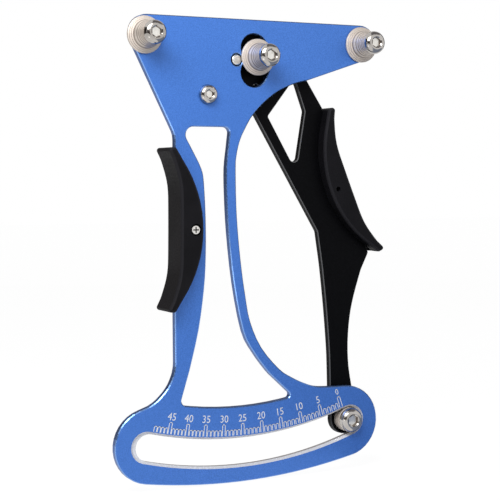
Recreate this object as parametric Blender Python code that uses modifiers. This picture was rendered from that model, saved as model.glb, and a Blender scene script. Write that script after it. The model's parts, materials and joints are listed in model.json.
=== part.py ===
"""Spoke tension meter: a flat frame with two fixed posts, a sprung arm with a third post, and a scale.

World axes: +X runs along the spoke, +Z up, and the frame's front face looks along -Y.
The origin is the seat of the spoke, midway between the two fixed posts, at their necks.
Depths named Y_ are measured backwards from the frame's front face.
"""

import math

import bmesh
import bpy
from mathutils import Matrix, Vector

MM = 0.001

# Frame and arm
POST_SPAN = 94.0 * MM
PIVOT_X = -8.4 * MM
PIVOT_Z = -7.9 * MM
REACH = 153.3 * MM
PLATE_T = 3.0 * MM
ARM_T = 3.0 * MM
ARM_GAP = 1.5 * MM
FIT = 0.3 * MM
OVERRUN = 1.0 * MM
MERGE = 0.01 * MM

# Travel, in degrees from straight down, positive towards +X
POINTER_REST_DEG = 19.35
POINTER_END_DEG = -14.15
SLOT_CHAMFER_END_DEG = -14.65
MOVING_POST_REST_DEG = 98.0

# Frame outline: how far its head stands above and left of the posts before it is rounded, the
# lobes round the ends of the scale slot, and the band between that slot's middle and the window
TOP_MARGIN = 7.85 * MM
HEAD_LEFT = 10.1 * MM
HEAD_END_R = 7.2 * MM
CORNER_R = 7.0 * MM
LOBE_R = 14.55 * MM
BOTTOM_R = 243.9 * MM
SCALE_BAND = 17.8 * MM
WINDOW_CORNER_R = 2.2 * MM
WINDOW_WIDE_R = 3.4 * MM
EDGE = 0.35 * MM

# Arm outline
ARM_HEAD_R = 6.0 * MM
ARM_CORNER_R = 1.5 * MM

# Scale slot and head slot
SLOT_HALF = 5.3 * MM
SLOT_CHAMFER = 0.9 * MM
HEAD_SLOT_HALF = 5.6 * MM
HEAD_SLOT_TOP_DEG = 122.0
HEAD_SLOT_BOTTOM_DEG = 57.0

# Posts
MOVING_POST_R = 8.75 * MM
FLANGE_R = 7.1 * MM
FLANGE_T = 1.2 * MM
NECK_R = 3.5 * MM
NECK_AT = 7.6 * MM
SLEEVE_H = 9.9 * MM
SLEEVE_TIP_R = 3.9 * MM
SLEEVE_LIP = 0.6 * MM
FLANGE_RIM = 0.25 * MM
BOSS_R = 4.0 * MM

# Screws: shank and head radius, head height, key radius across corners and key depth
M4_R = 2.0 * MM
M4_HEAD_R = 3.8 * MM
M4_HEAD_H = 2.2 * MM
M4_KEY_R = 1.44 * MM
M5_R = 2.5 * MM
M5_HEAD_R = 4.75 * MM
M5_HEAD_H = 2.75 * MM
M5_KEY_R = 1.73 * MM
M6_R = 3.0 * MM
M6_HEAD_R = 5.25 * MM
M6_HEAD_H = 3.3 * MM
M6_KEY_R = 2.31 * MM
KEY_DEPTH_SHARE = 0.6
SCREW_END = 0.8 * MM
SCREW_TIP = 0.3 * MM

# Pointer
POINTER_BOSS_R = 6.5 * MM
POINTER_SLEEVE_R = 5.0 * MM
POINTER_SUNK = 1.2 * MM
POINTER_WASHER_R = 4.7 * MM
POINTER_WASHER_T = 0.6 * MM

# Pivot and spring
PIVOT_R = 2.0 * MM
PIVOT_HOLE_R = 2.45 * MM
BUSH_R = 3.4 * MM
BUSH_FLANGE_R = 4.3 * MM
SPOOL_R = 3.4 * MM
SPOOL_FLANGE_R = 5.5 * MM
SPOOL_FLANGE_T = 0.8 * MM
WIRE_R = 0.7 * MM
COIL_R = 4.9 * MM
COIL_PITCH = 1.95 * MM
COIL_TURNS = 3
CLIP_R = 4.0 * MM
CLIP_T = 0.6 * MM
CLIP_GROOVE_R = 1.5 * MM
CLIP_MOUTH_DEG = 80.0
SPRING_PIN_R = 1.5 * MM
SPRING_PIN_STEM_R = 1.1 * MM
SPRING_PIN_REACH = 14.5 * MM
SPRING_PIN_DEG = 45.0
ANCHOR_REACH = 18.6 * MM
ANCHOR_DEG = -42.6
STANDOFF_R = 3.0 * MM
LEG_PAST = 1.5 * MM
LEG_POINTS = 4

# Grips
GRIP_HALF_L = 31.65 * MM
GRIP_BULGE = 14.75 * MM
GRIP_HOLLOW = 5.3 * MM
GRIP_T = 14.0 * MM
GRIP_EDGE = 0.95 * MM
GRIP_TIP_R = 1.3 * MM
GRIP_SEAT = 4.9 * MM
GRIP_NOTCH = 1.6 * MM
GRIP_NOTCH_HALF = 20.0 * MM
GRIP_FLARE = 1.9 * MM
GRIP_SCREW_V = 11.4 * MM
GRIP_SCREW_R = 1.2 * MM
GRIP_CORE_R = 1.0 * MM
GRIP_HEAD_R = 2.0 * MM
GRIP_HEAD_H = 1.2 * MM
GRIP_HEAD_EDGE = 0.4 * MM
CROSS_L = 1.2 * MM
CROSS_W = 0.25 * MM
CROSS_DEPTH = 0.7 * MM
LEFT_GRIP_LEAN_DEG = 0.4
RIGHT_GRIP_LEAN_DEG = -22.25

# Outlines as shares of REACH, right of and below the pivot
RIB_SHARES = (
    (0.201, 0.047), (0.162, 0.057), (0.1055, 0.084), (0.051, 0.131), (0.021, 0.177), (0.0065, 0.209),
    (-0.0014, 0.242), (-0.0040, 0.274), (-0.0024, 0.371), (0.0032, 0.452), (0.0123, 0.534),
    (0.0224, 0.600), (0.0356, 0.666), (0.0675, 0.735), (0.1193, 0.794), (0.155, 0.8176),
    (0.1896, 0.8345), (0.228, 0.8476), (0.263, 0.8508),
)
WINDOW_RIGHT_SHARES = (
    (-0.0256, 0.225), (-0.0312, 0.274), (-0.0306, 0.339), (-0.0252, 0.436), (-0.0100, 0.568),
    (0.0155, 0.690), (0.045, 0.7456), (0.0850, 0.7975), (0.1089, 0.8208),
)
WINDOW_LEFT_SHARES = (
    (-0.1337, 0.781), (-0.1087, 0.681), (-0.0934, 0.579), (-0.0882, 0.499), (-0.0880, 0.4025),
    (-0.0926, 0.310), (-0.0997, 0.2746), (-0.1210, 0.2335),
)
WINDOW_TOP_SHARES = ((-0.157, 0.170), (-0.019, 0.170))
WINDOW_SIDE_DEG = 10.5
SPINE_TOP_SHARE = (-0.1715, 0.1915)
SPINE_FOOT_SHARES = (
    (-0.1733, 0.744), (-0.1737, 0.770), (-0.1794, 0.795), (-0.1944, 0.8243), (-0.2218, 0.8528),
    (-0.2438, 0.8663),
)
LOBE_SHARES = ((-0.2411, 0.9658), (0.3192, 0.9468))
LEFT_LOBE_TOP_DEG = -163.0

# Middles of the two edges that the grips straddle
LEFT_GRIP_SHARE = (-0.1729, 0.4269)
RIGHT_GRIP_SHARE = (0.3310, 0.3125)

ARM_HEAD_SHARES = ((-0.047, -0.071), (0.142, -0.071))
ARM_RIGHT_SHARES = ((0.265, 0.118), (0.4052, 0.500))
ARM_LOWER_RIGHT_SHARES = (
    (0.3829, 0.545), (0.3603, 0.616), (0.3481, 0.673), (0.3425, 0.740), (0.3450, 0.803), (0.355, 0.862),
)
ARM_LOWER_LEFT_SHARES = (
    (0.2870, 0.860), (0.2847, 0.773), (0.2800, 0.7055), (0.2740, 0.638), (0.2673, 0.576),
    (0.2608, 0.5226), (0.2529, 0.472),
)
ARM_CORNER_SHARE = (0.2481, 0.4403)
ARM_NECK_SHARES = ((0.0250, 0.0685), (-0.047, 0.043))
KITE_SHARES = ((0.1844, 0.2805), (0.1021, 0.1396), (0.1800, 0.0401), (0.2107, 0.1246))
KITE_R_SHARES = (0.0127, 0.0065, 0.010, 0.010)

# Half of a grip's hollow side and its tip, as shares of its half length and of the hollow's depth,
# and the share of its length over which its bulging side is an arc
GRIP_HOLLOW_SHARES = ((0.853, 0.37), (0.79, 0.51), (0.632, 0.80), (0.474, 0.957), (0.237, 0.99))
GRIP_TIP_SHARES = ((0.985, -0.03), (0.99, 0.62))
GRIP_ARC_SHARE = 0.82
GRIP_CHORD_SHARE = 0.955

# Turned profiles: height and radius shares of a post's cone, radius and height shares of a screw's dome
POST_SHARES = (
    (0.68, 0.015), (0.56, 0.09), (0.43, 0.22), (0.31, 0.40), (0.22, 0.57), (0.17, 0.72), (0.13, 0.83),
)
DOME_SHARES = ((0.46, 1.0), (0.66, 0.90), (0.83, 0.72), (0.94, 0.50), (1.0, 0.24))

ROUND = 36
SMALL_ROUND = 24
CURL_POINTS = 10

ARM_PIECES = (
    "pointer_arm", "pivot_bush", "right_grip", "right_grip_screw", "moving_post_sleeve",
    "moving_post_screw", "pointer_sleeve", "pointer_washer", "pointer_screw", "spring_pin",
)

# Depths behind the frame's front face, which itself lies behind the origin, and the window's reach
FACE_Y = NECK_AT
Y_ARM = PLATE_T + ARM_GAP
Y_ARM_BACK = Y_ARM + ARM_T
Y_SPOOL = Y_ARM_BACK + FIT
Y_COIL = Y_SPOOL + SPOOL_FLANGE_T + FIT + WIRE_R
Y_COIL_END = Y_COIL + (COIL_TURNS + 0.5) * COIL_PITCH
Y_CLIP = Y_COIL_END + WIRE_R + FIT + FIT
GRIP_FRONT = (GRIP_T - PLATE_T) / 2
WINDOW_R = REACH - SCALE_BAND


def along(centre, reach, degrees):
    """Point at a distance from a centre, in degrees from straight down towards +X."""
    a = math.radians(degrees)
    return (centre[0] + reach * math.sin(a), centre[1] - reach * math.cos(a))


def share_point(share):
    """Point on the face from shares of REACH, right of and below the pivot."""
    return (PIVOT_X + share[0] * REACH, PIVOT_Z - share[1] * REACH)


PIVOT = (PIVOT_X, PIVOT_Z)
LEFT_POST = (-POST_SPAN / 2, 0.0)
RIGHT_POST = (POST_SPAN / 2, 0.0)
MOVING_POST = along(PIVOT, MOVING_POST_R, MOVING_POST_REST_DEG)
POINTER = along(PIVOT, REACH, POINTER_REST_DEG)
ANCHOR = along(PIVOT, ANCHOR_REACH, ANCHOR_DEG)
SPRING_PIN = along(PIVOT, SPRING_PIN_REACH, SPRING_PIN_DEG)

HEAD_END = (RIGHT_POST[0], TOP_MARGIN - HEAD_END_R)
LEFT_LOBE, RIGHT_LOBE = (share_point(share) for share in LOBE_SHARES)


def seat_of(share, lean, side):
    """A grip's seat: a point on the edge that it straddles, the way up along it and the way in."""
    a = math.radians(lean)
    return (
        Vector(share_point(share)),
        Vector((math.sin(a), math.cos(a))),
        Vector((math.cos(a), -math.sin(a))) * side,
    )


LEFT_SEAT = seat_of(LEFT_GRIP_SHARE, LEFT_GRIP_LEAN_DEG, 1.0)
RIGHT_SEAT = seat_of(RIGHT_GRIP_SHARE, RIGHT_GRIP_LEAN_DEG, -1.0)


def clear_scene():
    for obj in list(bpy.data.objects):
        bpy.data.objects.remove(obj, do_unlink=True)


def new_collection(name):
    collection = bpy.data.collections.new(name)
    bpy.context.scene.collection.children.link(collection)
    return collection


def material(name, color, roughness, metallic):
    mat = bpy.data.materials.new(name)
    mat.use_nodes = True
    shader = mat.node_tree.nodes["Principled BSDF"]
    shader.inputs["Base Color"].default_value = (*color, 1.0)
    shader.inputs["Roughness"].default_value = roughness
    shader.inputs["Metallic"].default_value = metallic
    return mat


clear_scene()
PARTS = new_collection("spoke_tension_meter")
CUTTERS = new_collection("cutters")
BLUE = material("blue_anodised", (0.09, 0.22, 0.60), 0.38, 0.6)
BLACK = material("black_anodised", (0.012, 0.012, 0.014), 0.4, 0.3)
RUBBER = material("grip_rubber", (0.020, 0.020, 0.022), 0.7, 0.0)
STEEL = material("polished_steel", (0.70, 0.67, 0.64), 0.15, 1.0)
SPRING_STEEL = material("spring_steel", (0.35, 0.35, 0.37), 0.3, 1.0)
POLYMER = material("black_polymer", (0.03, 0.03, 0.03), 0.5, 0.0)


def rounded(corners):
    """Outline through corners (point, radius), each rounded by an arc that touches both sides."""
    points = []
    count = len(corners)
    for index, (corner, radius) in enumerate(corners):
        here = Vector(corner)
        before = Vector(corners[index - 1][0]) - here
        after = Vector(corners[(index + 1) % count][0]) - here
        opening = before.angle(after)
        if radius == 0.0 or math.pi - opening < 0.02:
            points.append(tuple(here))
            continue
        back = min(radius / math.tan(opening / 2), before.length / 2, after.length / 2)
        reach = back / math.cos(opening / 2)
        centre = here + (before.normalized() + after.normalized()).normalized() * reach
        start = here + before.normalized() * back - centre
        end = here + after.normalized() * back - centre
        sweep = math.atan2(start.x * end.y - start.y * end.x, start.dot(end))
        steps = max(2, round(abs(sweep) / math.radians(12.0)))
        for step in range(steps + 1):
            points.append(tuple(centre + Matrix.Rotation(sweep * step / steps, 2) @ start))
    return points


def smooth(points, steps=3):
    """Points along a Catmull-Rom curve through the given ones, ends included."""
    curve = []
    last = len(points) - 1
    for index in range(last):
        p0 = Vector(points[max(index - 1, 0)])
        p1 = Vector(points[index])
        p2 = Vector(points[index + 1])
        p3 = Vector(points[min(index + 2, last)])
        for step in range(steps):
            t = step / steps
            bend = (2 * p0 - 5 * p1 + 4 * p2 - p3) * t ** 2 + (3 * p1 - p0 - 3 * p2 + p3) * t ** 3
            curve.append(tuple(p1 + ((p2 - p0) * t + bend) / 2))
    curve.append(tuple(points[-1]))
    return curve


def arc(centre, radius, start, end, steps):
    """Points of an arc, in degrees from straight down towards +X, both ends included."""
    return [along(centre, radius, start + (end - start) * step / steps) for step in range(steps + 1)]


def circle(centre, radius, steps=SMALL_ROUND):
    return arc(centre, radius, 0.0, 360.0, steps)[:-1]


def arc_slot(radius, half, left, right, steps):
    """Outline of a slot of constant width that follows a circle round the pivot."""
    outline = arc(PIVOT, radius + half, left, right, steps)
    outline += arc(along(PIVOT, radius, right), half, right, right + 180.0, 12)[1:-1]
    outline += arc(PIVOT, radius - half, right, left, steps)
    outline += arc(along(PIVOT, radius, left), half, left + 180.0, left + 360.0, 12)[1:-1]
    return outline


def corners_of(points):
    """Outline points as corners that aren't rounded."""
    return [(point, 0.0) for point in points]


def on_seat(seat, way, across):
    """Point beside a grip's seat: along the edge, and in from the edge."""
    middle, along_edge, inwards = seat
    return tuple(middle + along_edge * way + inwards * across)


def weld(mesh):
    """Join a mesh's loose caps to its sides and turn its faces outwards."""
    work = bmesh.new()
    work.from_mesh(mesh)
    bmesh.ops.remove_doubles(work, verts=work.verts, dist=MERGE)
    bmesh.ops.recalc_face_normals(work, faces=work.faces)
    work.to_mesh(mesh)
    work.free()


def as_mesh(name, source, collection):
    """Make a curve object a mesh object of the same place, and remove the curve."""
    bpy.context.scene.collection.objects.link(source)
    bpy.context.view_layer.update()
    depsgraph = bpy.context.evaluated_depsgraph_get()
    mesh = bpy.data.meshes.new_from_object(source.evaluated_get(depsgraph))
    mesh.name = name
    weld(mesh)
    obj = bpy.data.objects.new(name, mesh)
    obj.matrix_world = source.matrix_world.copy()
    collection.objects.link(obj)
    bpy.data.objects.remove(source, do_unlink=True)
    return obj


def flat_piece(name, loops, y_front, y_back, edge, collection, bevel_resolution=0):
    """Closed solid from flat outlines, the first outside and the rest holes, with bevelled edges."""
    curve = bpy.data.curves.new(name, "CURVE")
    curve.dimensions = "2D"
    curve.fill_mode = "BOTH"
    curve.extrude = (y_back - y_front) / 2 - edge
    curve.bevel_depth = edge
    curve.bevel_resolution = bevel_resolution
    curve.offset = -edge
    for loop in loops:
        spline = curve.splines.new("POLY")
        spline.points.add(len(loop) - 1)
        for point, place in zip(spline.points, loop):
            point.co = (place[0], place[1], 0.0, 1.0)
        spline.use_cyclic_u = True
    source = bpy.data.objects.new(name + "_outline", curve)
    source.rotation_euler = (math.pi / 2, 0.0, 0.0)
    source.location = (0.0, FACE_Y + (y_front + y_back) / 2, 0.0)
    return as_mesh(name, source, collection)


def dressed(obj, mat):
    """Give a mesh object its material and smooth shading between sharp edges."""
    obj.data.materials.clear()
    obj.data.materials.append(mat)
    obj.data.shade_smooth()
    obj.data.set_sharp_from_angle(angle=math.radians(35.0))
    return obj


def turned(name, profile, place, mat, segments=ROUND):
    """Turned piece on an axis along Y: (radius, distance out of the face) down its outer side."""
    mesh = bpy.data.meshes.new(name)
    work = bmesh.new()
    verts = [work.verts.new((radius, 0.0, out)) for radius, out in profile]
    for first, second in zip(verts, verts[1:]):
        work.edges.new((first, second))
    if profile[0][0] > 0.0:
        work.edges.new((verts[-1], verts[0]))
    work.to_mesh(mesh)
    work.free()
    obj = bpy.data.objects.new(name, mesh)
    PARTS.objects.link(obj)
    screw = obj.modifiers.new("turn", "SCREW")
    screw.axis = "Z"
    screw.steps = segments
    screw.render_steps = segments
    screw.use_merge_vertices = True
    screw.merge_threshold = MERGE
    obj.rotation_euler = (math.pi / 2, 0.0, 0.0)
    obj.location = (place[0], FACE_Y, place[1])
    mesh.materials.append(mat)
    return obj


def rod_cutter(name, place, radius, y_front, y_back, segments=SMALL_ROUND):
    """Round cutter along Y, or a hexagonal one with six segments."""
    mesh = bpy.data.meshes.new(name)
    work = bmesh.new()
    depth = y_back - y_front
    bmesh.ops.create_cone(
        work, cap_ends=True, segments=segments, radius1=radius, radius2=radius, depth=depth
    )
    work.to_mesh(mesh)
    work.free()
    obj = bpy.data.objects.new(name, mesh)
    obj.rotation_euler = (math.pi / 2, 0.0, 0.0)
    obj.location = (place[0], FACE_Y + (y_front + y_back) / 2, place[1])
    CUTTERS.objects.link(obj)
    return obj


def cut(obj, cutter):
    """Take a cutter's shape out of an object with a live Boolean."""
    cutter.hide_render = True
    cutter.display_type = "WIRE"
    boolean = obj.modifiers.new("cut_" + cutter.name, "BOOLEAN")
    boolean.operation = "DIFFERENCE"
    boolean.solver = "EXACT"
    boolean.object = cutter


def bearing(start, end):
    """Direction from one point to another, in degrees from straight down towards +X."""
    return math.degrees(math.atan2(end[0] - start[0], start[1] - end[1]))


def notch(seat, first, last):
    """Edge under a grip, from one end of its seat to the other, cut back to hold the grip in place."""
    step = GRIP_NOTCH_HALF + GRIP_NOTCH
    places = ((first * step, 0.0), (first * GRIP_NOTCH_HALF, GRIP_NOTCH))
    places += ((last * GRIP_NOTCH_HALF, GRIP_NOTCH), (last * step, 0.0))
    return corners_of([on_seat(seat, way, across) for way, across in places])


def bottom_centre():
    """Centre of the long arc that touches both lobes from outside."""
    left, right = Vector(LEFT_LOBE), Vector(RIGHT_LOBE)
    half = (right - left) / 2
    rise = math.sqrt((BOTTOM_R - LOBE_R) ** 2 - half.length_squared)
    return tuple(left + half + Vector((-half.y, half.x)).normalized() * rise)


def frame_outline():
    """Outside of the frame: head, rib, two lobes round the ends of the scale slot, and spine."""
    corners = [((LEFT_POST[0] - HEAD_LEFT, TOP_MARGIN), CORNER_R)]
    rib = smooth([share_point(share) for share in RIB_SHARES])
    sight = Vector(HEAD_END) - Vector(rib[0])
    underside = math.atan2(sight.y, sight.x) - math.asin(HEAD_END_R / sight.length)
    head_end = arc(HEAD_END, HEAD_END_R, 180.0, math.degrees(underside), 15)
    middle = bottom_centre()
    low_right, low_left = bearing(middle, RIGHT_LOBE), bearing(middle, LEFT_LOBE)
    lobe_right = arc(RIGHT_LOBE, LOBE_R, 180.0, low_right, 18)
    bottom = arc(middle, BOTTOM_R, low_right, low_left, 16)[1:-1]
    lobe_left = arc(LEFT_LOBE, LOBE_R, low_left, LEFT_LOBE_TOP_DEG, 16)
    foot = smooth([share_point(share) for share in reversed(SPINE_FOOT_SHARES)])
    corners += corners_of(head_end + rib + lobe_right + bottom + lobe_left + foot)
    corners += notch(LEFT_SEAT, -1.0, 1.0)
    corners.append((share_point(SPINE_TOP_SHARE), CORNER_R))
    return rounded(corners)


def window_outline():
    """Window between the spine and the rib, down to an arc above the scale."""
    radii = (WINDOW_WIDE_R, WINDOW_CORNER_R)
    corners = [(share_point(share), radius) for share, radius in zip(WINDOW_TOP_SHARES, radii)]
    corners += corners_of(smooth([share_point(share) for share in WINDOW_RIGHT_SHARES]))
    corners.append((along(PIVOT, WINDOW_R, WINDOW_SIDE_DEG), WINDOW_WIDE_R))
    corners += corners_of(arc(PIVOT, WINDOW_R, WINDOW_SIDE_DEG, -WINDOW_SIDE_DEG, 9)[1:-1])
    corners.append((along(PIVOT, WINDOW_R, -WINDOW_SIDE_DEG), WINDOW_CORNER_R))
    corners += corners_of(smooth([share_point(share) for share in WINDOW_LEFT_SHARES]))
    return rounded(corners)


def frame_plate():
    """Blue frame, with its window, two slots and the holes for its posts, pivot, anchor and grip."""
    holes = [window_outline(), arc_slot(REACH, SLOT_HALF, POINTER_END_DEG, POINTER_REST_DEG, 24)]
    holes.append(arc_slot(MOVING_POST_R, HEAD_SLOT_HALF, HEAD_SLOT_BOTTOM_DEG, HEAD_SLOT_TOP_DEG, 8))
    holes += [circle(post, M5_R + FIT) for post in (LEFT_POST, RIGHT_POST)]
    holes.append(circle(PIVOT, PIVOT_HOLE_R))
    holes.append(circle(ANCHOR, M4_R + FIT))
    holes.append(circle(grip_screw_place(LEFT_SEAT), GRIP_SCREW_R + FIT))
    plate = flat_piece("frame_plate", [frame_outline()] + holes, 0.0, PLATE_T, EDGE, PARTS)
    grown = arc_slot(REACH, SLOT_HALF + SLOT_CHAMFER, SLOT_CHAMFER_END_DEG, POINTER_REST_DEG, 24)
    chamfer = flat_piece(
        "slot_chamfer", [grown], -2 * SLOT_CHAMFER, SLOT_CHAMFER, SLOT_CHAMFER, CUTTERS
    )
    cut(plate, chamfer)
    dressed(plate, BLUE)


def pointer_arm():
    """Black arm: a head round the pivot and the moving post, two legs, and a round pointer end."""
    corners = [(share_point(share), ARM_HEAD_R) for share in ARM_HEAD_SHARES]
    corners.append((share_point(ARM_RIGHT_SHARES[0]), ARM_CORNER_R))
    corners += notch(RIGHT_SEAT, 1.0, -1.0)
    corners.append((share_point(ARM_RIGHT_SHARES[1]), ARM_CORNER_R))
    corners += corners_of(smooth([share_point(share) for share in ARM_LOWER_RIGHT_SHARES]))
    corners += corners_of(arc(POINTER, POINTER_BOSS_R, 105.0, -100.0, 16))
    corners += corners_of(smooth([share_point(share) for share in ARM_LOWER_LEFT_SHARES]))
    corners.append((share_point(ARM_CORNER_SHARE), ARM_CORNER_R))
    corners.append((share_point(ARM_NECK_SHARES[0]), ARM_HEAD_R))
    corners.append((share_point(ARM_NECK_SHARES[1]), ARM_HEAD_R))
    kite = [(share_point(share), REACH * r) for share, r in zip(KITE_SHARES, KITE_R_SHARES)]
    holes = [rounded(kite), circle(PIVOT, BUSH_R + FIT), circle(MOVING_POST, M5_R + FIT)]
    holes.append(circle(POINTER, M6_R + FIT))
    holes.append(circle(SPRING_PIN, SPRING_PIN_STEM_R + FIT))
    holes.append(circle(grip_screw_place(RIGHT_SEAT), GRIP_SCREW_R + FIT))
    arm = flat_piece("pointer_arm", [rounded(corners)] + holes, Y_ARM, Y_ARM_BACK, EDGE, PARTS)
    dressed(arm, BLACK)


def post_profile(bore, foot):
    """Turned sleeve of a post: tip, neck, hollow cone and flange, its rear end, and its bore."""
    profile = [(bore, SLEEVE_H), (SLEEVE_TIP_R, SLEEVE_H), (SLEEVE_TIP_R, SLEEVE_H - SLEEVE_LIP)]
    profile += [(NECK_R, NECK_AT + SLEEVE_LIP), (NECK_R, NECK_AT)]
    for height, width in POST_SHARES:
        profile.append((NECK_R + width * (FLANGE_R - NECK_R), height * SLEEVE_H))
    profile += [(FLANGE_R - FLANGE_RIM, FLANGE_T), (FLANGE_R, FLANGE_T - FLANGE_RIM), (FLANGE_R, FIT)]
    return profile + foot + [(bore, foot[-1][1] if foot else FIT)]


def key_socket(obj, place, top, depth, radius):
    """Hexagonal socket in a screw's head."""
    cut(obj, rod_cutter(obj.name + "_key", place, radius, -top - OVERRUN, -top + depth, 6))


def button_screw(name, place, seat, end, shank, head_r, head_h, key_r):
    """Button-head screw: its head stands on a seat, out of the face, and its shank ends behind it."""
    profile = [(0.0, seat + head_h)]
    profile += [(radius * head_r, seat + height * head_h) for radius, height in DOME_SHARES]
    profile += [(head_r, seat), (shank, seat)]
    profile += [(shank, end + SCREW_TIP), (shank - SCREW_TIP, end), (0.0, end)]
    screw = turned(name, profile, place, STEEL)
    key_socket(screw, place, seat + head_h, KEY_DEPTH_SHARE * head_h, key_r)


def fixed_posts():
    """Two posts on the frame, each a turned sleeve held by a screw."""
    for side, place in (("left", LEFT_POST), ("right", RIGHT_POST)):
        turned(side + "_post_sleeve", post_profile(M5_R + FIT, []), place, STEEL)
        end = -(PLATE_T + SCREW_END)
        button_screw(
            side + "_post_screw", place, SLEEVE_H + FIT, end, M5_R, M5_HEAD_R, M5_HEAD_H, M5_KEY_R
        )


def moving_post():
    """Post on the arm, whose boss passes through the head slot."""
    foot = [(BOSS_R, FIT), (BOSS_R, -(Y_ARM - FIT))]
    turned("moving_post_sleeve", post_profile(M5_R + FIT, foot), MOVING_POST, STEEL)
    end = -(Y_ARM_BACK + SCREW_END)
    button_screw(
        "moving_post_screw", MOVING_POST, SLEEVE_H + FIT, end, M5_R, M5_HEAD_R, M5_HEAD_H, M5_KEY_R
    )


def ring(name, place, inner, outer, y_front, y_back, mat):
    """Plain sleeve or washer."""
    profile = [(inner, -y_front), (outer, -y_front), (outer, -y_back), (inner, -y_back)]
    turned(name, profile, place, mat)


def pointer():
    """Sleeve that runs in the scale slot, with its washer and screw."""
    bore = M6_R + FIT
    under = POINTER_SUNK - FIT
    top = under - POINTER_WASHER_T
    ring("pointer_sleeve", POINTER, bore, POINTER_SLEEVE_R, POINTER_SUNK, Y_ARM - FIT, STEEL)
    ring("pointer_washer", POINTER, bore, POINTER_WASHER_R, top, under, STEEL)
    end = -(Y_ARM_BACK + SCREW_END)
    button_screw("pointer_screw", POINTER, FIT - top, end, M6_R, M6_HEAD_R, M6_HEAD_H, M6_KEY_R)


def pivot():
    """Pin through frame and arm, the arm's flanged bush, the spring's spool and the retaining clip."""
    groove = CLIP_T + 2 * FIT
    end = Y_CLIP + groove + CLIP_T
    profile = [(0.0, 0.0), (PIVOT_R - SCREW_TIP, 0.0), (PIVOT_R, -SCREW_TIP)]
    profile += [(PIVOT_R, -Y_CLIP), (CLIP_GROOVE_R, -Y_CLIP), (CLIP_GROOVE_R, -Y_CLIP - groove)]
    profile += [(PIVOT_R, -Y_CLIP - groove), (PIVOT_R, -end + SCREW_TIP)]
    profile += [(PIVOT_R - SCREW_TIP, -end), (0.0, -end)]
    turned("pivot_pin", profile, PIVOT, STEEL, SMALL_ROUND)
    bore = PIVOT_R + FIT
    front = PLATE_T + FIT
    shoulder = Y_ARM - FIT
    bush = [(bore, -front), (BUSH_FLANGE_R, -front), (BUSH_FLANGE_R, -shoulder), (BUSH_R, -shoulder)]
    bush += [(BUSH_R, -Y_ARM_BACK), (bore, -Y_ARM_BACK)]
    turned("pivot_bush", bush, PIVOT, POLYMER)
    step = Y_SPOOL + SPOOL_FLANGE_T
    spool = [(bore, -Y_SPOOL), (SPOOL_FLANGE_R, -Y_SPOOL), (SPOOL_FLANGE_R, -step), (SPOOL_R, -step)]
    spool += [(SPOOL_R, -Y_CLIP), (bore, -Y_CLIP)]
    turned("spring_spool", spool, PIVOT, POLYMER)
    inner = CLIP_GROOVE_R + FIT
    outline = arc(PIVOT, CLIP_R, CLIP_MOUTH_DEG / 2, 360.0 - CLIP_MOUTH_DEG / 2, 24)
    outline += arc(PIVOT, inner, 360.0 - CLIP_MOUTH_DEG / 2, CLIP_MOUTH_DEG / 2, 24)
    clip = flat_piece("pivot_clip", [outline], Y_CLIP + FIT, Y_CLIP + FIT + CLIP_T, 0.0, PARTS)
    dressed(clip, SPRING_STEEL)


def anchor():
    """Screw on the frame with a standoff behind it, which holds the spring's fixed leg."""
    back = Y_COIL_END + WIRE_R + FIT
    button_screw("anchor_screw", ANCHOR, FIT, -back / 2, M4_R, M4_HEAD_R, M4_HEAD_H, M4_KEY_R)
    ring("anchor_standoff", ANCHOR, M4_R + FIT, STANDOFF_R, PLATE_T + FIT, back, STEEL)


def spring_pin():
    """Stepped pin in the arm's head that the spring's moving leg pushes."""
    top = -Y_ARM
    shoulder = -(Y_ARM_BACK + FIT)
    end = -(Y_COIL + WIRE_R + FIT + SCREW_TIP)
    profile = [(0.0, top), (SPRING_PIN_STEM_R, top), (SPRING_PIN_STEM_R, shoulder)]
    profile += [(SPRING_PIN_R, shoulder), (SPRING_PIN_R, end + SCREW_TIP)]
    profile += [(SPRING_PIN_R - SCREW_TIP, end), (0.0, end)]
    turned("spring_pin", profile, SPRING_PIN, STEEL, SMALL_ROUND)


def leg_angle(reach, degrees, peg_r):
    """Direction of a leg that touches the coil's mean circle and clears a peg, and its length."""
    off = COIL_R + WIRE_R + FIT + peg_r
    turn = math.degrees(math.asin(off / reach))
    length = math.sqrt(reach ** 2 - off ** 2) + peg_r + LEG_PAST
    return degrees - math.copysign(turn, degrees), length


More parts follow.
